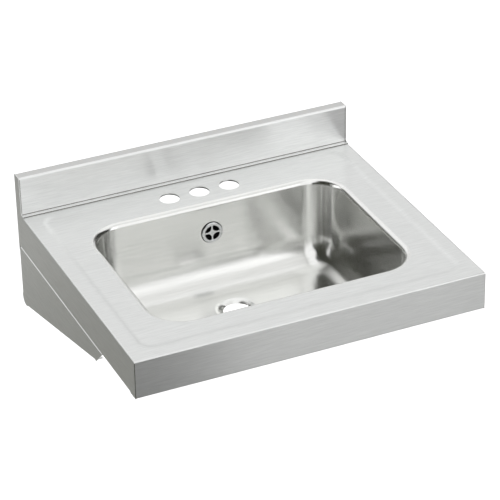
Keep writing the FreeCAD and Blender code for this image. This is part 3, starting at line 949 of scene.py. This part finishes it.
fastener = {
    "flats": 11.1 * mm, "head": 4.4 * mm, "nut": 5.6 * mm, "length": 13 * mm, "sides": 36,
    "chamfer": math.radians(30), "chamferFrom": 0.97,  # in half widths across the flats
    "washer": 0.95, "washerHigh": 0.3 * mm, "headMiddle": 0.5,
    "bore": 3.275 * mm, "boreChamfer": 0.5 * mm,
    "crest": 3.175 * mm, "root": 2.65 * mm, "pitch": 1.27 * mm, "runIn": 0.1 * mm,
    "tip": 0.86, "tipHigh": 0.5 * mm,
    "inset": 15 * mm, "first": 60 * mm, "spacing": 200 * mm, "count": 2, "smooth": 30,
}
# one turn of the thread: part of the pitch, and which radius it has
ridge = ((0.0, "root"), (0.12, "root"), (0.45, "crest"), (0.6, "crest"), (0.93, "root"))


def hexRow(bm, z, away):
    # one ring of a hexagon whose corners are cut by a cone
    # away is 1 or -1 at a chamfered end, else 0
    flat, row = fastener["flats"] / 2, []
    for i in range(fastener["sides"]):
        a = 2 * math.pi * i / fastener["sides"]
        radius = flat / math.cos((a + math.pi / 6) % (math.pi / 3) - math.pi / 6)
        fall = max(radius - flat * fastener["chamferFrom"], 0) * math.tan(fastener["chamfer"])
        row.append(bm.verts.new((*polar(radius, a), z - away * fall)))
    return row


def roundRow(bm, radius, z):
    return circleLoop(bm, (0, 0), radius, fastener["sides"], levelAt(z))


def threadRows(bm, low, high):
    # one ridge wound up the shank, which runs into the plain root at both ends
    # a turn more at each end lies flat on the root
    turns = int((high - low) / fastener["pitch"]) + 3
    sides, last = fastener["sides"], len(ridge)
    rows = []
    for i in range(turns * sides + 1):
        a = 2 * math.pi * i / sides
        row = []
        for part, level in ridge:
            z = low + fastener["pitch"] * (i / sides - 1 + part)
            radius = fastener[level] if low < z < high else fastener["root"]
            row.append(bm.verts.new((*polar(radius, a), min(max(z, low), high))))
        rows.append(row)
    for before, after in zip(rows, rows[1:]):
        bridge(bm, before, after)
    # each turn joins the foot of the next one
    for before, after in zip(rows[:-sides], rows[sides:]):
        before.append(after[0])
    for before, after in zip(rows, rows[1:]):
        if len(before) > last and len(after) > last:
            bm.faces.new((before[last - 1], after[last - 1], after[last], before[last]))


def boltShape():
    bm = bmesh.new()
    flat, root = fastener["flats"] / 2, fastener["root"]
    under, washer = -sheet, flat * fastener["washer"]
    bottom, step = under - fastener["head"], under - fastener["washerHigh"]
    head = [
        roundRow(bm, flat * fastener["headMiddle"], bottom),
        roundRow(bm, flat * fastener["chamferFrom"], bottom),
        hexRow(bm, bottom, -1), hexRow(bm, step, 0),
        roundRow(bm, washer, step), roundRow(bm, washer, under), roundRow(bm, root, under),
    ]
    for lower, upper in zip(head, head[1:]):
        bridge(bm, lower, upper, True)
    bm.faces.new(head[0])
    top = under + fastener["length"]
    low, high = under + fastener["runIn"], top - fastener["tipHigh"]
    tip = roundRow(bm, root * fastener["tip"], top)
    bridge(bm, head[-1], roundRow(bm, root, low), True)
    threadRows(bm, low, high)
    bridge(bm, roundRow(bm, root, high), tip, True)
    bm.faces.new(tip)
    return bm


def nutShape():
    bm = bmesh.new()
    flat, bore, cut = fastener["flats"] / 2, fastener["bore"], fastener["boreChamfer"]
    low, high = sheet, sheet + fastener["nut"]
    face = flat * fastener["chamferFrom"]
    rows = [
        roundRow(bm, bore, low + cut), roundRow(bm, bore + cut, low), roundRow(bm, face, low),
        hexRow(bm, low, -1), hexRow(bm, high, 1),
        roundRow(bm, face, high), roundRow(bm, bore + cut, high), roundRow(bm, bore, high - cut),
    ]
    for lower, upper in zip(rows, rows[1:] + rows[:1]):
        bridge(bm, lower, upper, True)
    return bm


def rowTree():
    # the same fastener set along a line
    tree, sockets = newTree("fastenerRow", [
        ("Shape", "Object"), ("Start", "Vector"), ("Step", "Vector"), ("Count", "Int"),
        ("Finish", "Material"),
    ])
    given = tree.nodes.new("NodeGroupInput")
    places = tree.nodes.new("GeometryNodeMeshLine")
    shape = tree.nodes.new("GeometryNodeObjectInfo")
    spread = tree.nodes.new("GeometryNodeInstanceOnPoints")
    tree.links.new(given.outputs["Count"], places.inputs["Count"])
    tree.links.new(given.outputs["Start"], places.inputs["Start Location"])
    tree.links.new(given.outputs["Step"], places.inputs["Offset"])
    tree.links.new(given.outputs["Shape"], shape.inputs["Object"])
    tree.links.new(places.outputs["Mesh"], spread.inputs["Points"])
    tree.links.new(shape.outputs["Geometry"], spread.inputs["Instance"])
    endTree(tree, spread.outputs["Instances"], given.outputs["Finish"])
    return tree, sockets


def makeFasteners():
    tree, sockets = rowTree()
    for label, shape in (("Bolts", boltShape()), ("Nuts", nutShape())):
        bmesh.ops.remove_doubles(shape, verts=shape.verts[:], dist=weld)
        bmesh.ops.dissolve_degenerate(shape, edges=shape.edges[:], dist=sliver)
        bmesh.ops.recalc_face_normals(shape, faces=shape.faces[:])
        mesh = bpy.data.meshes.new("one" + label)
        shape.to_mesh(mesh)
        shape.free()
        one = newObject("one" + label, mesh)
        for side, sign in (("left", -1), ("right", 1)):
            x = sign * (halfWidth - fastener["inset"])
            obj = runTree(side + label, tree, sockets, {
                "Shape": one, "Start": (x, -fastener["first"], apronZ),
                "Step": (0, -fastener["spacing"], 0), "Count": fastener["count"],
                "Finish": finish["zinc"],
            })
            finishPiece(obj, finish["zinc"], edge=0, angle=fastener["smooth"])
            settle(obj, "sink", "plated_fasteners", side + "_gusset_" + label.lower())
            print(side, label.lower() + ":", len(obj.data.polygons), "faces")
        bpy.data.objects.remove(one)


makeFasteners()


# floor, light and camera

studio = {
    "groundZ": -0.86, "floorSize": 14.0, "floorTone": 0.9, "floorRough": 0.9, "floorGlow": 0.6,
    "position": (-1.287221, -3.167394, 1.821436),
    "azimuth": math.radians(23.8647), "elevation": math.radians(30.1493),
    "roll": math.radians(-1.1218),
    "focal": 2443.277 / 500,  # in widths of the picture
    "sensor": 36, "far": 60,
    "tent": (1.06, 1.06, 1.06), "ground": (0.215, 0.215, 0.192), "behind": (1.0, 1.0, 1.0),
    "horizon": (-11, -5), "leanFrom": 35,  # elevations in degrees
}


def patch(azimuth, half, low, top, soft, glow, lean=0.0):
    # part of the tent or the ground with a glow of its own, in degrees: azimuth from +Y towards +X,
    # half width, lowest and highest elevation, softness of its edges, and how far it leans for each
    # degree it rises
    return {
        "azimuth": azimuth, "half": half, "low": low, "top": top, "soft": soft,
        "glow": glow, "lean": lean,
    }


patches = {
    "backRight": patch(18, 20, -8, 38, 5, (0.82, 0.82, 0.82)),
    "left": patch(291, 14, -8, 40, 4, (1.6, 1.6, 1.6)),
    "frontRight": patch(144, 11, -8, 40, 4, (1.6, 1.6, 1.6)),
    "camera": patch(234, 35, -8, 62, 2, (0.05, 0.051, 0.04), lean=1.4),
    "right": patch(84, 46, -8, 40, 2, (0.05, 0.05, 0.045)),
    "backLeft": patch(312, 11, -8, 32, 3, (0.15, 0.15, 0.145)),
    "aboveLeft": patch(262, 42, 42, 78, 3, (0.04, 0.04, 0.032)),
    "aboveRight": patch(120, 28, 45, 74, 4, (0.85, 0.85, 0.84)),
    "behindBelow": patch(40, 50, -95, -8, 5, (0.95, 0.95, 0.95)),
    "ahead": patch(156, 50, -95, -8, 5, (0.11, 0.11, 0.107)),
}
bounces = {  # panels on the ground: middle, size, glow
    "apronPanel": ((0.735, -1.76, -0.84), (0.81, 0.7), 1.15),
    "sidePanel": ((-0.85, 1.35, -0.84), (0.6, 0.4), 0.16),
}


def makeFloor():
    bm = bmesh.new()
    bmesh.ops.create_grid(bm, x_segments=2, y_segments=2, size=studio["floorSize"] / 2)
    bmesh.ops.translate(bm, verts=bm.verts[:], vec=(0, 0, studio["groundZ"]))
    mesh = bpy.data.meshes.new("floor")
    bm.to_mesh(mesh)
    bm.free()
    obj = newObject("floor", mesh)
    mat, nodes, links, shader = startMaterial("paleFloor")
    tone = studio["floorTone"]
    shader.inputs["Base Color"].default_value = (tone, tone, tone, 1)
    shader.inputs["Roughness"].default_value = studio["floorRough"]
    shader.inputs["Emission Color"].default_value = (1, 1, 1, 1)
    shader.inputs["Emission Strength"].default_value = studio["floorGlow"]
    mesh.materials.append(mat)
    obj.visible_glossy = False  # the steel mirrors the studio's ground instead


def makeCamera():
    data = bpy.data.cameras.new("camera")
    data.sensor_width = studio["sensor"]
    data.lens = studio["sensor"] * studio["focal"]
    data.clip_end = studio["far"]
    obj = newObject("camera", data)
    az, el, roll = studio["azimuth"], studio["elevation"], studio["roll"]
    forward = Vector((math.cos(el) * math.sin(az), math.cos(el) * math.cos(az), -math.sin(el)))
    side = forward.cross(Vector((0, 0, 1))).normalized()
    up = side.cross(forward)
    right = side * math.cos(roll) + up * math.sin(roll)
    top = up * math.cos(roll) - side * math.sin(roll)
    turn = Matrix((right, top, -forward)).transposed().to_4x4()
    obj.matrix_world = Matrix.Translation(studio["position"]) @ turn
    bpy.context.scene.camera = obj


def makeBounces():
    for name, (place, size, glow) in bounces.items():
        data = bpy.data.lights.new(name, "AREA")
        data.shape = "RECTANGLE"
        data.size, data.size_y = size
        data.energy = glow * math.pi * data.size * data.size_y
        obj = newObject(name, data)
        obj.location = place
        obj.rotation_euler = (math.pi, 0, 0)
        obj.visible_camera = False


def maths(tree, kind, *values):
    # one maths node on sockets and numbers
    node = tree.nodes.new("ShaderNodeMath")
    node.operation = kind
    for socket, value in zip(node.inputs, values):
        if isinstance(value, (int, float)):
            socket.default_value = value
        else:
            tree.links.new(value, socket)
    return node.outputs["Value"]


def softStep(tree, value, middle, soft, start, end):
    # goes from start to end over a soft step round the middle
    step = tree.nodes.new("ShaderNodeMapRange")
    step.interpolation_type = "SMOOTHSTEP"
    limits = {"From Min": middle - soft, "From Max": middle + soft, "To Min": start, "To Max": end}
    for label, number in limits.items():
        step.inputs[label].default_value = number
    tree.links.new(value, step.inputs["Value"])
    return step.outputs["Result"]


def blendOver(tree, factor, under, over):
    mix = tree.nodes.new("ShaderNodeMix")
    mix.data_type = "RGBA"
    tree.links.new(factor, mix.inputs["Factor"])
    if isinstance(under, tuple):
        mix.inputs["A"].default_value = (*under, 1)
    else:
        tree.links.new(under, mix.inputs["A"])
    mix.inputs["B"].default_value = (*over, 1)
    return mix.outputs["Result"]


def insidePatch(tree, row, turn, height):
    # 1 inside the patch and 0 outside it
    raised = maths(tree, "MAXIMUM", maths(tree, "SUBTRACT", height, studio["leanFrom"]), 0)
    middle = maths(tree, "ADD", maths(tree, "MULTIPLY", raised, row["lean"]), row["azimuth"])
    away = maths(tree, "WRAP", maths(tree, "SUBTRACT", turn, middle), 180, -180)
    across = softStep(tree, maths(tree, "ABSOLUTE", away), row["half"], row["soft"], 1, 0)
    below = softStep(tree, height, row["top"], row["soft"], 1, 0)
    above = softStep(tree, height, row["low"], row["soft"], 0, 1)
    return maths(tree, "MULTIPLY", maths(tree, "MULTIPLY", across, below), above)


def makeWorld():
    # a white tent over a grey ground, with lighter and darker patches
    # the camera sees plain white behind the floor
    world = bpy.data.worlds.new("studio")
    world.use_nodes = True
    tree = world.node_tree
    coords = tree.nodes.new("ShaderNodeTexCoord")
    parts = tree.nodes.new("ShaderNodeSeparateXYZ")
    tree.links.new(coords.outputs["Generated"], parts.inputs["Vector"])
    degrees = 180 / math.pi
    around = maths(tree, "ARCTAN2", parts.outputs["X"], parts.outputs["Y"])
    turn = maths(tree, "MULTIPLY", around, degrees)
    height = maths(tree, "MULTIPLY", maths(tree, "ARCSINE", parts.outputs["Z"]), degrees)
    low, high = studio["horizon"]
    onGround = softStep(tree, height, (low + high) / 2, (high - low) / 2, 1, 0)
    glow = blendOver(tree, onGround, studio["tent"], studio["ground"])
    for row in patches.values():
        glow = blendOver(tree, insidePatch(tree, row, turn, height), glow, row["glow"])
    seen = tree.nodes.new("ShaderNodeLightPath").outputs["Is Camera Ray"]
    sky = blendOver(tree, seen, glow, studio["behind"])
    tree.links.new(sky, tree.nodes["Background"].inputs["Color"])
    bpy.context.scene.world = world


makeFloor()
makeCamera()
makeBounces()
makeWorld()
bpy.context.scene.view_settings.view_transform = "Standard"
print("stage set")
